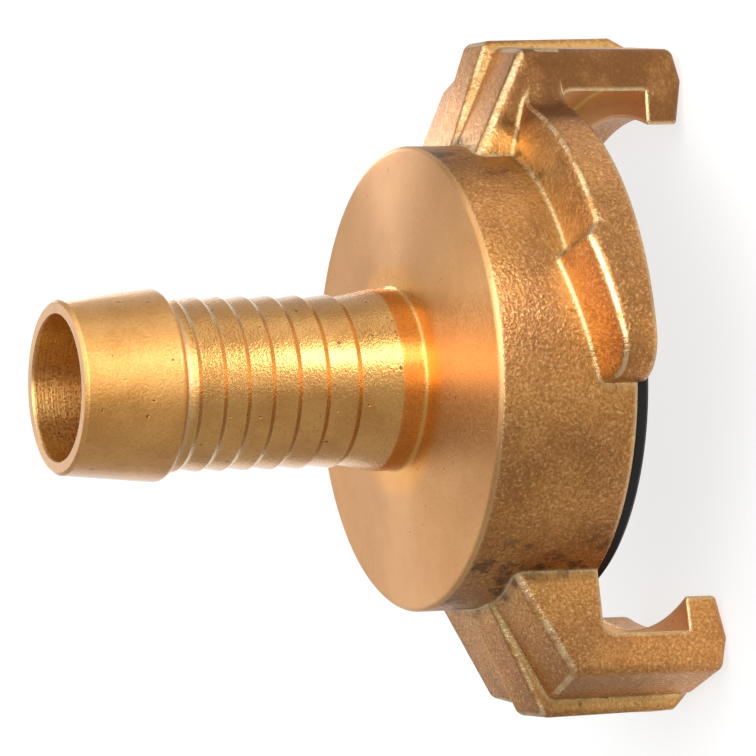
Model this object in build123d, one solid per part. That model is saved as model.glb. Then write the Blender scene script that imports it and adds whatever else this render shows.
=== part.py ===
"""One half of a claw coupling with a 13 mm hose tail: a forged and turned brass body and its rubber seal.

The bore runs along Z with the hose tail upwards, and the part stands on its two claw tips at Z = 0.
One claw is on +X and the other on -X. All lengths are in millimetres.
"""

from build123d import *
import math
import os

# Driving dimensions. A depth is measured along the bore from the rear rim of the drum towards the mate,
# a height from the same rim towards the hose tail, and a radius from the bore's axis.
lip_radius = 20.0
channel_radius = 22.5
drum_radius = 17.9
drum_depth = 11.2
claw_depth = 21.75
tail_height = 28.5
bore_radius = 5.6

# Hose tail
tip_radius = 6.62
bevel_radius = 7.33
bevel_height = 20.7
bevel_round = 0.5
crest_radius = 6.62
valley_radius = 6.36
valley_heights = (20.3, 19.1, 17.1, 15.2, 13.2, 11.1, 8.8, 6.2)
crest_width = 0.45
collar_radius = 7.0
collar_height = 3.1
face_root_height = 1.2
rim_chamfer = 0.25

# Claws: the flanks flare outwards and taper towards the lip, and every outer side falls away from the rib.
# The rib's rear and front radius are given for its flange side and for its other side.
lip_depth = 18.42
lip_edge_round = 0.8
channel_round = 0.9
claw_half_width = 8.4
claw_offset = -0.25
claw_flare = 0.06
claw_taper = 0.015
claw_rear_depth = 4.8
claw_rear_slope = 0.52
shoulder_side = 24.1
shoulder_rib = 25.4
tip_ridge_radius = 21.7
tip_slope = 0.17
tip_back_slope = 0.26
forged_round = 0.8
rib_half_width = 2.3
rib_foot_half_width = 3.0
rib_radii = ((26.1, 26.35), (26.8, 26.6))
rib_rear_depth = 4.5
rib_rear_slope = 0.42
rib_end_slope = 1.9
rib_foot_limit = 20.6
rib_rear_round = 0.9
rib_end_round = 0.6
rib_edge_round = 0.5

# The forging's two claws differ a little: the depth where the rib ends, and how far each side of the rear
# face leans, the flange's side first.
first_claw = (18.7, (-0.01, 0.1))
second_claw = (19.4, (0.1, 0.06))

# Flange segments: the angle is counted from the claw that carries the segment.
flange_radius = 21.7
plateau_depth = 6.8
detent_depth = 5.95
ramp_end_depth = 8.3
flange_draft = 1.1
detent_start = 66.2
detent_end = 69.4
flange_end = 100.3
flange_end_round = 3.3
gusset_round = 2.5
flange_rim_round = 0.6
flange_start = 5
flange_stock_depth = 4
flange_foot = 1.4
flange_clearance = 4
ramp_steps = 6

# Seal seat and waterway
seat_mouth_radius = 14.2
seat_groove_radius = 16.0
seat_lip_depth = 1.6
seat_depth = 4.6
cavity_radius = 10.4
cavity_end_depth = 2.2

# Seal
seal_flange_radius = 17.65
seal_flange_height = 1.15
seal_bore_radius = 9.6
seal_gap = 0.05

# Raw stock and tool lengths, which reach into or past the finished shape
root_radius = drum_radius - 3
block_side = 12
tool_overrun = 1

rim_z = claw_depth


def level(depth):
    """Height above the floor of a point at this depth behind the drum's rear rim."""
    return rim_z - depth


def side_face(points):
    """Face in the XZ plane through (radius, depth) points."""
    return make_face(Polyline(*[(radius, 0, level(depth)) for radius, depth in points], close=True).edges())


def tail_points():
    """Outline of the hose tail from the drum's rear face out to the tip, as (radius, depth)."""
    points = [(collar_radius, -face_root_height), (collar_radius, -collar_height)]
    points.append((valley_radius, -valley_heights[-1]))
    for near, far in zip(valley_heights[:0:-1], valley_heights[-2::-1]):
        points.append((crest_radius, -near - crest_width))
        points.append((valley_radius, -far))
    points.append((bevel_radius, -bevel_height))
    points.append((tip_radius, -tail_height + rim_chamfer))
    points.append((tip_radius - rim_chamfer, -tail_height))
    return points


def turned_blank():
    """Drum and hose tail, turned in one, before the waterway is bored."""
    rim = drum_radius - rim_chamfer
    outline = [(0, drum_depth), (drum_radius, drum_depth), (drum_radius, rim_chamfer), (rim, 0)]
    outline += tail_points()
    outline.append((0, -tail_height))
    face = side_face(outline)
    corner = face.vertices().sort_by_distance((bevel_radius, 0, level(-bevel_height)))[0]
    return revolve(fillet(corner, bevel_round), Axis.Z)


def waterway():
    """Bore, conical cavity and undercut seat of the seal, as one turned tool."""
    outline = [
        (0, -tail_height - tool_overrun),
        (bore_radius, -tail_height - tool_overrun),
        (bore_radius, cavity_end_depth),
        (cavity_radius, drum_depth - seat_depth),
        (seat_groove_radius, drum_depth - seat_depth),
        (seat_groove_radius, drum_depth - seat_lip_depth),
        (seat_mouth_radius, drum_depth - seat_lip_depth),
        (seat_mouth_radius, drum_depth + tool_overrun),
        (0, drum_depth + tool_overrun),
    ]
    return revolve(side_face(outline), Axis.Z)


def hook_channel():
    """Turned space inside both hooks, between the front face and the lips and out past their rounded rims."""
    mouth = level(claw_depth - tip_slope * (tip_ridge_radius - lip_radius))
    rim = lip_radius + lip_edge_round
    start = (lip_radius, 0, mouth + lip_edge_round)
    bulge = lip_edge_round * math.sqrt(0.5)
    middle = (rim - bulge, 0, start[2] - bulge)
    end = (rim, 0, mouth)
    outside = Polyline(
        (0, 0, level(drum_depth)),
        (channel_radius, 0, level(drum_depth)),
        (channel_radius, 0, level(lip_depth)),
        (lip_radius, 0, level(lip_depth)),
        start,
    )
    inside = Polyline(end, (rim, 0, -tool_overrun), (0, 0, -tool_overrun), (0, 0, level(drum_depth)))
    face = make_face(Wire([*outside.edges(), ThreePointArc(start, middle, end), *inside.edges()]))
    corner = face.vertices().sort_by_distance((channel_radius, 0, level(drum_depth)))[0]
    return revolve(fillet(corner, channel_round), Axis.Z)


def half_width(radius, depth):
    """Half the width of a claw across its flanks, which stand off the rib's middle by claw_offset."""
    return claw_half_width + claw_flare * (radius - 22) - claw_taper * (depth - 8)


def claw_section(depth):
    """Section of a claw across the bore: flared flanks and an outer side that rises to the rib."""
    low, high = half_width(root_radius, depth), half_width(shoulder_side, depth)
    outline = [
        (root_radius, claw_offset - low),
        (shoulder_side, claw_offset - high),
        (shoulder_rib, -rib_foot_half_width),
        (shoulder_rib, rib_foot_half_width),
        (shoulder_side, claw_offset + high),
        (root_radius, claw_offset + low),
    ]
    return Pos(0, 0, level(depth)) * make_face(Polyline(*outline, close=True).edges())


def rear_depth(radius, offset, lean):
    """Depth of the slanted rear face of a claw at this radius and distance from the rib's middle."""
    return claw_rear_depth + claw_rear_slope * (radius - drum_radius) + lean * (offset - rib_half_width)


def claw_flank(side, offset, lean):
    """Side view of a claw at this distance from the rib's middle, on the -Y or +Y side."""
    outer = shoulder_rib + 2 * tool_overrun
    points = [
        (root_radius, rear_depth(root_radius, offset, lean)),
        (outer, rear_depth(outer, offset, lean)),
        (outer, claw_depth - tip_back_slope * (outer - tip_ridge_radius)),
        (tip_ridge_radius, claw_depth),
        (root_radius, claw_depth - tip_slope * (tip_ridge_radius - root_radius)),
    ]
    return Pos(0, side * offset, 0) * side_face(points)


def claw_block(leans):
    """Forged block of the claw on +X, without its rib, still solid inside the hook."""
    across = loft([claw_section(0), claw_section(claw_depth + tool_overrun)], ruled=True)
    halves = []
    for side, lean in zip((-1, 1), leans):
        middle = claw_flank(side, rib_half_width, lean)
        halves.append(loft([middle, claw_flank(side, block_side, lean)], ruled=True))
        halves.append(extrude(middle, rib_half_width, dir=(0, -side, 0)))
    block = (halves[0] + halves[1] + halves[2] + halves[3]) & across
    outside = [edge for edge in block.edges() if edge.center().X > drum_radius - 1]
    crease = [edge for edge in outside if abs(edge.center().Y) < 0.01 and edge.center().Z > 2]
    return fillet([edge for edge in outside if edge not in crease], forged_round)


def rib_side(rear_radius, front_radius, end_depth):
    """Side view of the rib with its outer corners rounded."""
    foot_depth = min(end_depth + rib_end_slope * (front_radius - shoulder_rib), rib_foot_limit)
    points = [
        (root_radius, rib_rear_depth + rib_rear_slope * (root_radius - drum_radius)),
        (rear_radius, rib_rear_depth + rib_rear_slope * (rear_radius - drum_radius)),
        (front_radius, end_depth),
        (shoulder_rib, foot_depth),
        (root_radius, foot_depth),
    ]
    profile = side_face(points)
    for (radius, depth), rounding in zip(points[1:3], (rib_rear_round, rib_end_round)):
        corner = profile.vertices().sort_by_distance((radius, 0, level(depth)))[0]
        profile = fillet(corner, rounding)
    return profile


def rib(end_depth):
    """Rib that runs up the middle of the claw's rear face and along its outer side to this depth."""
    sides = [rib_side(*radii, end_depth) for radii in rib_radii]
    bar = loft([Pos(0, -rib_half_width, 0) * sides[0], Pos(0, rib_half_width, 0) * sides[1]], ruled=True)
    flanks = [edge for edge in bar.edges() if abs(edge.center().Y) > rib_half_width - 0.01]
    rear = [edge for edge in flanks if edge.center().Z > level(drum_depth) and edge.center().X > drum_radius - 1]
    outside = [edge for edge in flanks if edge.center().X > shoulder_rib]
    return fillet(ShapeList(set(rear + outside)), rib_edge_round)


def claw(end_depth, leans):
    """Forged claw on +X with its rib."""
    return claw_block(leans) + rib(end_depth)


def radial_tool(angle, foot_depth):
    """Section of the tool that shapes the rear of a flange segment, in the radial plane at this angle."""
    inner, outer = drum_radius - flange_foot, flange_radius + flange_clearance
    slope = flange_draft / (flange_radius - drum_radius)
    outline = [
        (inner, 0),
        (inner, foot_depth + slope * (inner - drum_radius)),
        (outer, foot_depth + slope * (outer - drum_radius)),
        (outer, 0),
    ]
    return Rot(0, 0, -angle) * side_face(outline)


def at(radius, angle):
    """Point of the plan at this radius and angle in radians."""
    return (radius * math.cos(angle), radius * math.sin(angle))


def flange_segment():
    """Flange segment beside the +X claw: a level stretch, a detent step and a ramp towards the free end."""
    end = math.radians(-flange_end)
    start = math.radians(-flange_start)
    middle = (start + end) / 2
    outline = [
        Line(at(root_radius, start), at(flange_radius, start)),
        ThreePointArc(at(flange_radius, start), at(flange_radius, middle), at(flange_radius, end)),
        Line(at(flange_radius, end), at(root_radius, end)),
        ThreePointArc(at(root_radius, end), at(root_radius, middle), at(root_radius, start)),
    ]
    sector = make_face(Wire(outline))
    corner = sector.vertices().sort_by_distance(Vector(*at(flange_radius, end)))[0]
    sector = fillet(corner, flange_end_round)
    flank = half_width(flange_radius, drum_depth) - claw_offset
    web = Pos((root_radius + shoulder_side) / 2, -flank / 2) * Rectangle(shoulder_side - root_radius, flank)
    plan = sector + web
    notch = plan.vertices().sort_by_distance(Vector(math.sqrt(flange_radius**2 - flank**2), -flank))[0]
    plan = fillet(notch, gusset_round)
    plate = extrude(Pos(0, 0, level(drum_depth)) * plan, drum_depth - flange_stock_depth)
    level_tool = revolve(radial_tool(-flange_start, plateau_depth), Axis.Z, -flange_start - detent_start)
    step_tool = loft([radial_tool(detent_start, plateau_depth), radial_tool(detent_end, detent_depth)])
    ramp = []
    for i in range(ramp_steps + 1):
        share = i / ramp_steps
        angle = detent_end + share * (flange_end + 2 - detent_end)
        ramp.append(radial_tool(angle, detent_depth + share * (ramp_end_depth - detent_depth)))
    segment = plate - level_tool - step_tool - loft(ramp)
    rear_rim = [
        edge
        for edge in segment.edges()
        if edge.geom_type not in (GeomType.LINE, GeomType.HYPERBOLA)
        and edge.center().Z > level(drum_depth) + 0.5
        and math.hypot(edge.center().X, edge.center().Y) > drum_radius + 2
    ]
    return fillet(rear_rim, flange_rim_round)


def make_body():
    """The whole brass body: turned drum and tail, two claws and two flange segments, bored through."""
    first, second = [claw(*sizes) + flange_segment() for sizes in (first_claw, second_claw)]
    body = turned_blank() + first + Rot(0, 0, 180) * second
    return body - hook_channel() - waterway()


def make_seal():
    """Rubber seal: a bead held in the seat, a neck and a flat flange that stands proud of the front face."""
    groove = seat_groove_radius - seal_gap
    mouth = seat_mouth_radius - seal_gap
    floor = drum_depth - seat_depth + seal_gap
    outline = [
        (seal_bore_radius + 0.8, floor),
        (groove, floor),
        (groove, drum_depth - seat_lip_depth - seal_gap),
        (mouth, drum_depth - seat_lip_depth - seal_gap),
        (mouth, drum_depth + seal_gap),
        (seal_flange_radius, drum_depth + seal_gap),
        (seal_flange_radius, drum_depth + seal_flange_height - 0.3),
        (seal_flange_radius - 0.3, drum_depth + seal_flange_height),
        (seal_bore_radius + 0.5, drum_depth + seal_flange_height),
        (seal_bore_radius, drum_depth + seal_flange_height - 0.5),
        (seal_bore_radius, floor + 0.8),
    ]
    return revolve(side_face(outline), Axis.Z)


os.makedirs("parts", exist_ok=True)
body = make_body()
seal = make_seal()
# The rounded claw tips set the floor, so both solids drop together until they touch it.
drop = Pos(0, 0, -body.bounding_box().min.Z)
body = drop * body
seal = drop * seal
print("body", round(body.volume), "mm3,", len(body.solids()), "solid,", len(body.faces()), "faces")
export_step(body, "parts/body.step")
export_step(seal, "parts/seal.step")
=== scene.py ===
"""Looks of one half of a claw hose coupling: forged and turned brass, and a black rubber seal."""

import math
import bpy
from mathutils import Matrix, Vector


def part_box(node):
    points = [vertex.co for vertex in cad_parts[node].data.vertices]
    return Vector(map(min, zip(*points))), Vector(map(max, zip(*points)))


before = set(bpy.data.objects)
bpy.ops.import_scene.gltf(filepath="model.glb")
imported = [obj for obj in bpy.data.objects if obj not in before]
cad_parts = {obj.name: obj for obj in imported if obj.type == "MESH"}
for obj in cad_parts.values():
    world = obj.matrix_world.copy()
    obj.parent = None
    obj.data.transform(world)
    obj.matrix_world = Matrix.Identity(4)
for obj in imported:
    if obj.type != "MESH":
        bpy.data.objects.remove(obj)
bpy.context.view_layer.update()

MM = 0.001

# Levels above the floor and radii of the coupling, in metres
RIM_Z = 21.73 * MM
DRUM_RADIUS = 17.9 * MM
FACE_Z = RIM_Z - 11.2 * MM
LIP_Z = RIM_Z - 18.42 * MM
CHANNEL_RADIUS = 22.5 * MM
BORE_RADIUS = 5.6 * MM
NECK_Z = RIM_Z + 3.05 * MM
TAIL_TIP_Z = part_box("body")[1][2]
HEAD_Z = TAIL_TIP_Z - 8.0 * MM
CENTRE = Vector((0, 0, 0.45 * TAIL_TIP_Z))

# Material slots of the body
FORGED, TURNED, TAIL = 0, 1, 2

# Camera: a long lens, rolled onto its side so that the tail points to the left of the picture
CAMERA_PLACE = Vector((-0.0575190, -0.3972150, 0.1927559))
CAMERA_TARGET = Vector((0.0013768, 0.0084462, 0.0204587))
CAMERA_ROLL = math.radians(91.391456)
CAMERA_LENS = 270.14

# Studio: the floor's half width in metres, its matte grey and the light it adds where it is seen,
# the grey of the surroundings, and the flat strips that make up a curved card
FLOOR_REACH = 1.6
FLOOR_GREY = 0.34
FLOOR_GLOW = 0.76
SKY_GREY = 0.42
CARD_STEPS = 24


class Nodes:
    """Short hand for building a node tree."""

    def __init__(self, tree):
        self.tree = tree
        self.tree.nodes.clear()

    def add(self, kind, **values):
        node = self.tree.nodes.new(kind)
        for key, value in values.items():
            setattr(node, key, value)
        return node

    def put(self, value, socket):
        """Links an output to the socket, or sets a constant on it."""
        if isinstance(value, bpy.types.NodeSocket):
            self.tree.links.new(value, socket)
        else:
            socket.default_value = value

    def finish(self, shader, kind="ShaderNodeOutputMaterial"):
        self.put(shader.outputs[0], self.add(kind).inputs["Surface"])

    def math(self, operation, a, b=None):
        node = self.add("ShaderNodeMath", operation=operation)
        self.put(a, node.inputs[0])
        if b is not None:
            self.put(b, node.inputs[1])
        return node.outputs[0]

    def times(self, a, b):
        return self.math("MULTIPLY", a, b)

    def total(self, first, *others):
        for other in others:
            first = self.math("ADD", first, other)
        return first

    def vector(self, operation, a, b=None):
        node = self.add("ShaderNodeVectorMath", operation=operation)
        self.put(a, node.inputs[0])
        if b is not None:
            self.put(b, node.inputs[1])
        return node.outputs["Value" if operation in ("LENGTH", "DOT_PRODUCT") else "Vector"]

    def split(self, vector):
        node = self.add("ShaderNodeSeparateXYZ")
        self.put(vector, node.inputs[0])
        return node.outputs

    def join(self, x, y):
        node = self.add("ShaderNodeCombineXYZ")
        self.put(x, node.inputs[0])
        self.put(y, node.inputs[1])
        return node.outputs[0]

    def noise(self, where, scale, detail, roughness, distortion=0.0):
        node = self.add("ShaderNodeTexNoise")
        self.put(where, node.inputs["Vector"])
        node.inputs["Scale"].default_value = scale
        node.inputs["Detail"].default_value = detail
        node.inputs["Roughness"].default_value = roughness
        node.inputs["Distortion"].default_value = distortion
        return node.outputs["Fac"]

    def step(self, value, low, high, to=(0.0, 1.0)):
        """Smooth change between two values of the input; low may be above high."""
        node = self.add("ShaderNodeMapRange", interpolation_type="SMOOTHSTEP")
        self.put(value, node.inputs["Value"])
        node.inputs["From Min"].default_value = low
        node.inputs["From Max"].default_value = high
        node.inputs["To Min"].default_value = to[0]
        node.inputs["To Max"].default_value = to[1]
        return node.outputs["Result"]

    def mix(self, share, a, b):
        """Blend of two colours."""
        node = self.add("ShaderNodeMix", data_type="RGBA", clamp_factor=True)
        self.put(share, node.inputs["Factor"])
        self.put(a, node.inputs[6])
        self.put(b, node.inputs[7])
        return node.outputs[2]

    def paint(self, colour, mask, strength, shade):
        """Lays a shade over the colour where the mask is 1, up to a strength."""
        return self.mix(self.times(mask, strength), colour, shade)

    def blend(self, share, a, b):
        """Blend of two numbers."""
        node = self.add("ShaderNodeMix", data_type="FLOAT", clamp_factor=True)
        self.put(share, node.inputs["Factor"])
        self.put(a, node.inputs[2])
        self.put(b, node.inputs[3])
        return node.outputs[0]


def rgb(*screen):
    """Colour as it looks on screen, 0 to 255, turned into the linear values that shaders use."""
    linear = (
        value / 255 / 12.92 if value < 10.3 else ((value / 255 + 0.055) / 1.055) ** 2.4
        for value in screen
    )
    return (*linear, 1.0)


def start(name):
    """New material with an empty node tree."""
    material = bpy.data.materials.new(name)
    material.use_nodes = True
    return material, Nodes(material.node_tree)


def place_on_part(n):
    return n.add("ShaderNodeTexCoord").outputs["Object"]


def true_normal(n):
    return n.add("ShaderNodeNewGeometry").outputs["Normal"]


def softened(n, radius, samples):
    """Normal that rolls over the edges, like a small bevel."""
    soft = n.add("ShaderNodeBevel", samples=samples)
    soft.inputs["Radius"].default_value = radius
    return soft.outputs[0]


def flatness(n, soft_normal):
    """1 on flat faces, and less near edges, where the softened normal leans away."""
    return n.vector("DOT_PRODUCT", soft_normal, true_normal(n))


def crevice(n, distance, open_share=0.72, closed_share=0.35):
    """Grows from 0 on open faces to 1 in inner corners."""
    shade = n.add("ShaderNodeAmbientOcclusion", samples=8, only_local=True)
    shade.inputs["Distance"].default_value = distance
    return n.step(shade.outputs["AO"], open_share, closed_share)


def outside(n, edge, inner):
    """Edge mask without the inner corners."""
    return n.times(edge, n.math("SUBTRACT", 1.0, inner))


def bumped(n, height, normal):
    """Normal with a relief; the height is in millimetres."""
    bump = n.add("ShaderNodeBump")
    bump.inputs["Strength"].default_value = 1.0
    bump.inputs["Distance"].default_value = MM
    n.put(height, bump.inputs["Height"])
    n.put(normal, bump.inputs["Normal"])
    return bump.outputs[0]


def metal(n, colour, rough, height, normal):
    """Metal shader shared by the three brass finishes."""
    shader = n.add("ShaderNodeBsdfPrincipled")
    shader.inputs["Metallic"].default_value = 1.0
    n.put(colour, shader.inputs["Base Color"])
    n.put(rough, shader.inputs["Roughness"])
    n.put(bumped(n, height, normal), shader.inputs["Normal"])
    n.finish(shader)
    return shader


def lathe_places(n, place):
    """Offset from the lathe's axis, radius, height, and a point that is one all round each ring."""
    x, y, z = n.split(place)
    flat = n.join(x, y)
    radius = n.vector("LENGTH", flat)
    return flat, radius, z, n.join(radius, z)


def turned_brass():
    """Turned faces, neck foot and waterway: fine rings and highlights stretched across them."""
    material, n = start("brass_turned")
    place = place_on_part(n)
    flat, radius, _, ring = lathe_places(n, place)
    normal = softened(n, 0.45 * MM, 5)
    along_groove = n.vector("CROSS_PRODUCT", (0.0, 0.0, 1.0), flat)
    across_groove = n.vector("CROSS_PRODUCT", true_normal(n), along_groove)

    coarse_rings = n.noise(ring, 5200, detail=2, roughness=0.7)
    fine_rings = n.noise(ring, 15000, detail=1, roughness=0.7)
    smear = n.noise(place, 900, detail=3, roughness=0.6)
    grit = n.noise(place, 5200, detail=2, roughness=0.6)
    patches = n.step(n.noise(place, 130, detail=4, roughness=0.6), 0.38, 0.66)
    pits = n.step(n.noise(place, 1900, detail=1, roughness=0.5), 0.765, 0.80)
    near_neck = n.step(radius, 9.6 * MM, 8.0 * MM)
    in_bore = n.step(radius, BORE_RADIUS + 0.6 * MM, BORE_RADIUS + 0.1 * MM)
    inner = crevice(n, 3 * MM, 0.80, 0.40)
    edge = outside(n, n.step(flatness(n, normal), 0.995, 0.90), inner)

    satin = n.mix(patches, rgb(223, 168, 110), rgb(213, 156, 98))
    golden = n.mix(patches, rgb(234, 168, 88), rgb(220, 152, 72))
    colour = n.mix(near_neck, satin, golden)
    # Painted light: the waterway is painted lighter, standing in for light that enters the bore
    colour = n.mix(in_bore, colour, rgb(246, 200, 122))
    colour = n.paint(colour, n.step(grit, 0.56, 0.42), 0.22, rgb(190, 126, 66))
    # Painted light: inner corners are painted a paler yellow, offsetting their shade and the orange
    # light reflected between their faces
    colour = n.paint(colour, inner, 0.9, rgb(240, 190, 106))
    # Edges painted paler: partly wear, partly a painted highlight
    colour = n.paint(colour, edge, 0.35, rgb(250, 216, 160))
    colour = n.paint(colour, pits, 0.6, rgb(110, 66, 30))
    rough = n.total(n.blend(near_neck, 0.41, 0.32), n.step(grit, 0.35, 0.7, to=(-0.05, 0.05)))
    height = n.total(
        n.times(coarse_rings, n.blend(in_bore, 0.009, 0.030)),
        n.times(fine_rings, 0.0025),
        n.times(smear, 0.004),
        n.times(grit, 0.010),
        n.times(pits, -0.02),
    )
    shader = metal(n, colour, rough, height, normal)
    shader.inputs["Anisotropic"].default_value = 0.7
    n.put(across_groove, shader.inputs["Tangent"])
    return material


def tail_brass():
    """Hose tail: turned and tumbled to a fine speckle. Its thin coat whitens the highlight."""
    material, n = start("brass_tail")
    place = place_on_part(n)
    _, _, z, ring = lathe_places(n, place)
    normal = softened(n, 0.16 * MM, 4)

    rings = n.noise(ring, 6500, detail=2, roughness=0.6)
    grain = n.noise(place, 4400, detail=2, roughness=0.6)
    grit = n.noise(place, 7500, detail=1, roughness=0.6)
    patches = n.step(n.noise(place, 190, detail=5, roughness=0.62), 0.40, 0.66)
    pits = n.step(n.noise(place, 1700, detail=1, roughness=0.5), 0.745, 0.79)
    on_head = n.step(z, HEAD_Z - 1.0 * MM, HEAD_Z - 0.6 * MM)
    inner = crevice(n, 0.7 * MM, 0.93, 0.72)
    edge = outside(n, n.step(flatness(n, normal), 0.995, 0.88), inner)
    level_faces = n.step(n.math("ABSOLUTE", n.split(true_normal(n))[2]), 0.30, 0.55)
    rib_steps = n.times(level_faces, n.step(z, HEAD_Z, HEAD_Z - 0.1 * MM))

    colour = n.mix(patches, rgb(230, 168, 86), rgb(212, 148, 66))
    colour = n.paint(colour, n.step(grain, 0.54, 0.36), 0.25, rgb(168, 112, 50))
    # Painted light: inner corners are painted paler, offsetting their shade and the orange light
    # reflected into them
    colour = n.paint(colour, inner, 0.5, rgb(224, 206, 158))
    # Painted light: the level step faces of the ribs are painted paler, offsetting the orange light
    # reflected onto them
    colour = n.paint(colour, rib_steps, 0.9, rgb(200, 178, 120))
    # Edges painted paler: partly wear, partly a painted highlight
    colour = n.paint(colour, edge, 0.5, rgb(250, 216, 156))
    colour = n.paint(colour, pits, 0.7, rgb(96, 54, 24))
    rough = n.total(n.blend(on_head, 0.24, 0.42), n.step(grit, 0.35, 0.7, to=(0.04, -0.05)))
    height = n.total(
        n.times(rings, 0.004),
        n.times(grain, 0.034),
        n.times(grit, 0.014),
        n.times(pits, -0.03),
    )
    shader = metal(n, colour, rough, height, normal)
    shader.inputs["Coat Weight"].default_value = 1.0
    shader.inputs["Coat Roughness"].default_value = 0.25
    return material


def forged_brass():
    """Drop-forged, tumbled brass: granular skin, worn edges and brown residue in the corners, with
    painted highlights, shade and reflected light.
    """
    material, n = start("brass_forged")
    place = place_on_part(n)
    x, y, z = n.split(place)
    radius = n.vector("LENGTH", n.join(x, y))
    outward = n.math("ABSOLUTE", x)
    normal = softened(n, 0.6 * MM, 6)

    grain = n.noise(place, 3000, detail=3, roughness=0.62)
    grit = n.noise(place, 6200, detail=2, roughness=0.6)
    speckle = n.noise(place, 4200, detail=2, roughness=0.6, distortion=0.6)
    waves = n.noise(place, 420, detail=3, roughness=0.5)
    patches = n.step(n.noise(place, 150, detail=5, roughness=0.62), 0.38, 0.64)
    broad_patches = n.step(n.noise(place, 75, detail=3, roughness=0.5), 0.44, 0.62)
    stains = n.noise(place, 210, detail=6, roughness=0.68)
    blots = n.step(n.noise(place, 480, detail=4, roughness=0.65), 0.52, 0.64)
    scuffs = n.noise(place, 650, detail=4, roughness=0.6)
    corner = crevice(n, 2.2 * MM)
    near_wall = crevice(n, 7 * MM, 0.90, 0.55)

    # Fillets between the rear faces and the sides, which the tumbling has worn bright; they and the
    # sharp edges are painted paler, partly wear and partly a painted highlight
    rearward = n.split(true_normal(n))[2]
    fillet = n.times(n.step(rearward, 0.25, 0.45), n.step(rearward, 0.86, 0.76))
    fillet_wear_and_highlight = n.times(fillet, n.step(scuffs, 0.38, 0.58, to=(0.15, 0.85)))
    sharp_edge = n.step(flatness(n, normal), 0.990, 0.84)
    wear_and_highlight = outside(n, n.math("MAXIMUM", sharp_edge, fillet_wear_and_highlight), corner)

    # Painted shade: the flank of each claw that faces its flange segment is painted darker, in
    # patches
    across = n.times(y, n.math("SIGN", x))
    sheltered = n.step(n.total(across, n.times(stains, 0.8 * MM)), -7.2 * MM, -7.9 * MM)
    on_claw = n.step(outward, 17.5 * MM, 18.5 * MM)
    flank_shade_cover = n.times(
        n.math("SUBTRACT", 1.0, fillet), n.step(stains, 0.30, 0.55, to=(0.45, 1.0))
    )
    flank_shade = n.times(n.times(sheltered, on_claw), flank_shade_cover)

    # Darker drum wall at the claws' roots, which is painted shade, and dark residue in corners and
    # close to walls
    on_drum_wall = n.step(radius, DRUM_RADIUS + 0.9 * MM, DRUM_RADIUS + 0.4 * MM)
    root_shade = n.times(n.step(outward, 12.0 * MM, 15.5 * MM), on_drum_wall)
    residue = n.times(corner, n.step(stains, 0.48, 0.60))
    spot_noise = n.noise(place, 560, detail=4, roughness=0.65)
    spots = n.times(near_wall, n.step(spot_noise, 0.55, 0.64))

    # Outer face of each rib, at its rear end
    rib_end = n.times(n.step(z, 17.0 * MM, 18.0 * MM), n.step(outward, 24.6 * MM, 25.0 * MM))

    colour = n.mix(patches, rgb(212, 150, 86), rgb(186, 128, 70))
    colour = n.paint(colour, broad_patches, 0.5, rgb(178, 126, 84))
    # Darker specks are grain tone; the pale specks that follow are painted glints
    colour = n.paint(colour, n.step(speckle, 0.54, 0.38), 0.5, rgb(146, 96, 46))
    colour = n.paint(colour, n.step(speckle, 0.56, 0.70), 0.6, rgb(246, 198, 138))
    # Painted reflected light: faces close to a wall are painted paler and yellower
    colour = n.paint(colour, near_wall, 0.85, rgb(222, 180, 110))
    # Painted shade on the claw flanks
    colour = n.paint(colour, flank_shade, 0.85, rgb(118, 78, 46))
    # Painted shade on the drum wall at the claws' roots, mottled
    colour = n.paint(colour, root_shade, n.blend(blots, 0.25, 0.85), rgb(104, 76, 50))
    # Edges and fillets painted paler: partly wear, partly a painted highlight
    colour = n.paint(colour, wear_and_highlight, 0.8, rgb(252, 222, 172))
    colour = n.paint(colour, n.math("MAXIMUM", residue, spots), 0.75, rgb(84, 54, 30))
    rough = n.total(
        n.step(grain, 0.35, 0.7, to=(0.42, 0.30)),
        n.times(n.math("MAXIMUM", wear_and_highlight, rib_end), -0.16),
    )
    height = n.total(n.times(grain, 0.070), n.times(waves, 0.07), n.times(grit, 0.018))
    metal(n, colour, rough, height, normal)
    return material


def rubber():
    """Matte black rubber with a faint bloom."""
    material, n = start("rubber")
    place = place_on_part(n)
    bloom = n.noise(place, 260, detail=4, roughness=0.6)
    grain = n.noise(place, 5200, detail=2, roughness=0.6)
    shader = n.add("ShaderNodeBsdfPrincipled")
    shader.inputs["Specular IOR Level"].default_value = 0.35
    colour = n.mix(n.step(bloom, 0.4, 0.7), rgb(22, 16, 17), rgb(34, 27, 29))
    n.put(colour, shader.inputs["Base Color"])
    n.put(n.step(bloom, 0.35, 0.7, to=(0.5, 0.66)), shader.inputs["Roughness"])
    normal = bumped(n, n.times(grain, 0.006), softened(n, 0.15 * MM, 4))
    n.put(normal, shader.inputs["Normal"])
    n.finish(shader)
    return material


def lathe_reached(centre):
    """True for the turned faces below the tail: neck foot, disc, waterway, front face, channels."""
    radius = math.hypot(centre.x, centre.y)
    if centre.z > RIM_Z - 0.3 * MM or radius < DRUM_RADIUS - 0.3 * MM:
        return True
    in_channel = LIP_Z - 0.1 * MM < centre.z < FACE_Z + 0.05 * MM
    return in_channel and radius < CHANNEL_RADIUS + 0.05 * MM


def finish_slot(centre):
    """Material slot of a face of the body, by where its centre lies."""
    if centre.z > NECK_Z and math.hypot(centre.x, centre.y) > BORE_RADIUS + 0.1 * MM:
        return TAIL
    return TURNED if lathe_reached(centre) else FORGED


def dress(node, *materials):
    """Gives a CAD node its materials, in slot order."""
    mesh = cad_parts[node].data
    mesh.materials.clear()
    for material in materials:
        mesh.materials.append(material)
    return mesh


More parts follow.
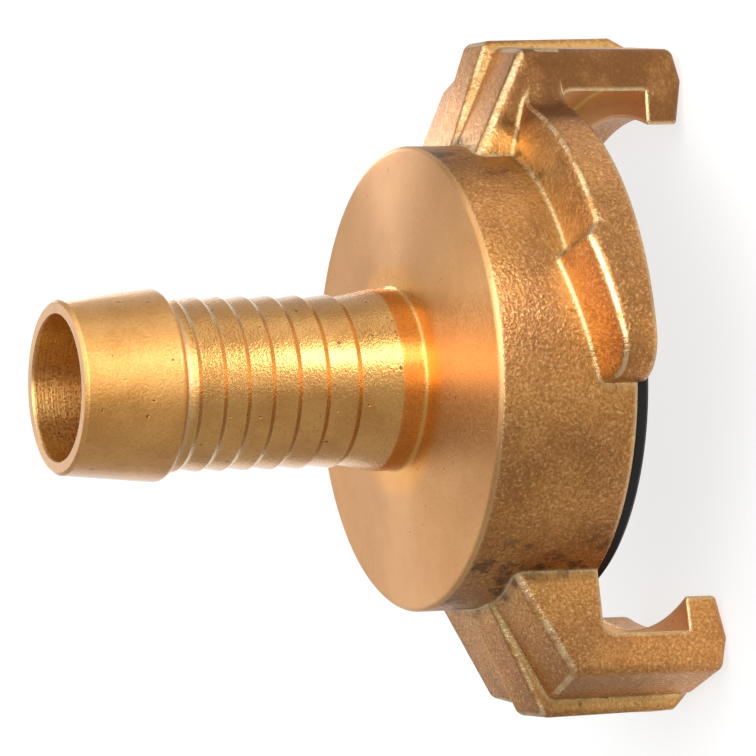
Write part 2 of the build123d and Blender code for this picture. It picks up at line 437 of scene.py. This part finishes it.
def dress_part():
    body = dress("body", forged_brass(), turned_brass(), tail_brass())
    for face in body.polygons:
        face.material_index = finish_slot(face.center)
    dress("seal", rubber())


def studio_mesh(name, points, faces, material):
    """Mesh that belongs to the studio and not to the part."""
    mesh = bpy.data.meshes.new(name)
    mesh.from_pydata(points, [], faces)
    mesh.materials.append(material)
    item = bpy.data.objects.new(name, mesh)
    bpy.context.collection.objects.link(item)
    return item


def glow(n, strength):
    """White light of a strength that may be a constant or an output."""
    light = n.add("ShaderNodeEmission")
    light.inputs["Color"].default_value = (1, 1, 1, 1)
    n.put(strength, light.inputs["Strength"])
    return light


def lamp(name, azimuth, elevation, distance, size, radiance):
    """Softbox aimed at the coupling, placed by its direction from it; radiance 1 looks white."""
    turn, tilt = math.radians(azimuth), math.radians(elevation)
    level = Vector((math.cos(turn), math.sin(turn), 0))
    away = level * math.cos(tilt) + Vector((0, 0, math.sin(tilt)))
    data = bpy.data.lights.new(name, "AREA")
    data.shape = "RECTANGLE"
    data.size, data.size_y = size
    data.energy = radiance * math.pi * size[0] * size[1]
    light = bpy.data.objects.new(name, data)
    light.visible_camera = False
    side = Vector((0, 0, 1)).cross(away).normalized()
    turned = Matrix((side, away.cross(side), away)).transposed().to_4x4()
    light.matrix_world = Matrix.Translation(CENTRE + away * distance) @ turned
    bpy.context.collection.objects.link(light)


def card(name, azimuths, foot, top, brightness):
    """Curved studio card round the coupling, seen only in its reflections.

    It runs from one azimuth to the other, in degrees. Foot and top are its radius and level
    there, in millimetres.
    """
    first, last = azimuths
    points = []
    for radius, level in (foot, top):
        for number in range(CARD_STEPS + 1):
            turn = math.radians(first + (last - first) * number / CARD_STEPS)
            flat_place = (radius * MM * math.cos(turn), radius * MM * math.sin(turn))
            points.append((*flat_place, level * MM))
    upper = CARD_STEPS + 1
    faces = [(i, i + 1, upper + i + 1, upper + i) for i in range(CARD_STEPS)]
    material, n = start(name)
    n.finish(glow(n, brightness))
    item = studio_mesh(name, points, faces, material)
    item.visible_camera = False
    item.visible_diffuse = False
    item.visible_shadow = False


def make_floor():
    """Matte floor that keeps the shadow, and glows only where it is seen or mirrored."""
    material, n = start("floor")
    path = n.add("ShaderNodeLightPath").outputs
    mirrored = n.math("MAXIMUM", path["Is Glossy Ray"], path["Is Transmission Ray"])
    seen = n.math("MAXIMUM", path["Is Camera Ray"], mirrored)
    matte = n.add("ShaderNodeBsdfDiffuse")
    matte.inputs["Color"].default_value = (FLOOR_GREY, FLOOR_GREY, FLOOR_GREY, 1)
    both = n.add("ShaderNodeAddShader")
    n.put(matte.outputs[0], both.inputs[0])
    n.put(glow(n, n.times(seen, FLOOR_GLOW)).outputs[0], both.inputs[1])
    n.finish(both)
    corners = [
        (-FLOOR_REACH, -FLOOR_REACH, 0),
        (FLOOR_REACH, -FLOOR_REACH, 0),
        (FLOOR_REACH, FLOOR_REACH, 0),
        (-FLOOR_REACH, FLOOR_REACH, 0),
    ]
    floor = studio_mesh("floor", corners, [(0, 1, 2, 3)], material)


def make_world():
    world = bpy.data.worlds.new("world")
    bpy.context.scene.world = world
    world.use_nodes = True
    n = Nodes(world.node_tree)
    sky = n.add("ShaderNodeBackground")
    sky.inputs["Color"].default_value = (SKY_GREY, SKY_GREY, SKY_GREY, 1)
    sky.inputs["Strength"].default_value = 1.0
    n.finish(sky, "ShaderNodeOutputWorld")


def make_camera():
    forward = (CAMERA_TARGET - CAMERA_PLACE).normalized()
    level_right = forward.cross(Vector((0, 0, 1))).normalized()
    level_up = level_right.cross(forward)
    up = level_up * math.cos(CAMERA_ROLL) + level_right * math.sin(CAMERA_ROLL)
    right = forward.cross(up)
    data = bpy.data.cameras.new("camera")
    data.lens = CAMERA_LENS
    data.sensor_width = 36
    data.sensor_fit = "HORIZONTAL"
    data.clip_end = 20
    camera = bpy.data.objects.new("camera", data)
    turn = Matrix((right, up, -forward)).transposed()
    camera.matrix_world = Matrix.Translation(CAMERA_PLACE) @ turn.to_4x4()
    bpy.context.collection.objects.link(camera)
    bpy.context.scene.camera = camera


def make_lights():
    lamp("front", azimuth=-46, elevation=50, distance=0.5, size=(1.0, 0.50), radiance=1.5)
    lamp("behind", azimuth=92, elevation=27, distance=0.6, size=(0.36, 0.40), radiance=0.75)
    lamp("above", azimuth=10, elevation=78, distance=0.6, size=(0.40, 0.40), radiance=0.8)
    card("bright_card", azimuths=(-78, -58), foot=(60, 8), top=(60, 30), brightness=8.0)
    card("edge_card", azimuths=(-102, -56), foot=(90, 60), top=(60, 120), brightness=5.0)
    card("rib_card", azimuths=(40, 62), foot=(90, 22), top=(90, 44), brightness=6.5)
    card("shade_card", azimuths=(-104, -222), foot=(32, 1), top=(52, 55), brightness=0.46)
    card("low_card", azimuths=(-98, -42), foot=(39, 1), top=(40, 14), brightness=0.35)
    card("side_card", azimuths=(-14, 40), foot=(42, 1), top=(50, 45), brightness=0.55)


bpy.context.scene.view_settings.view_transform = "Standard"
make_camera()
make_world()
make_floor()
make_lights()
dress_part()
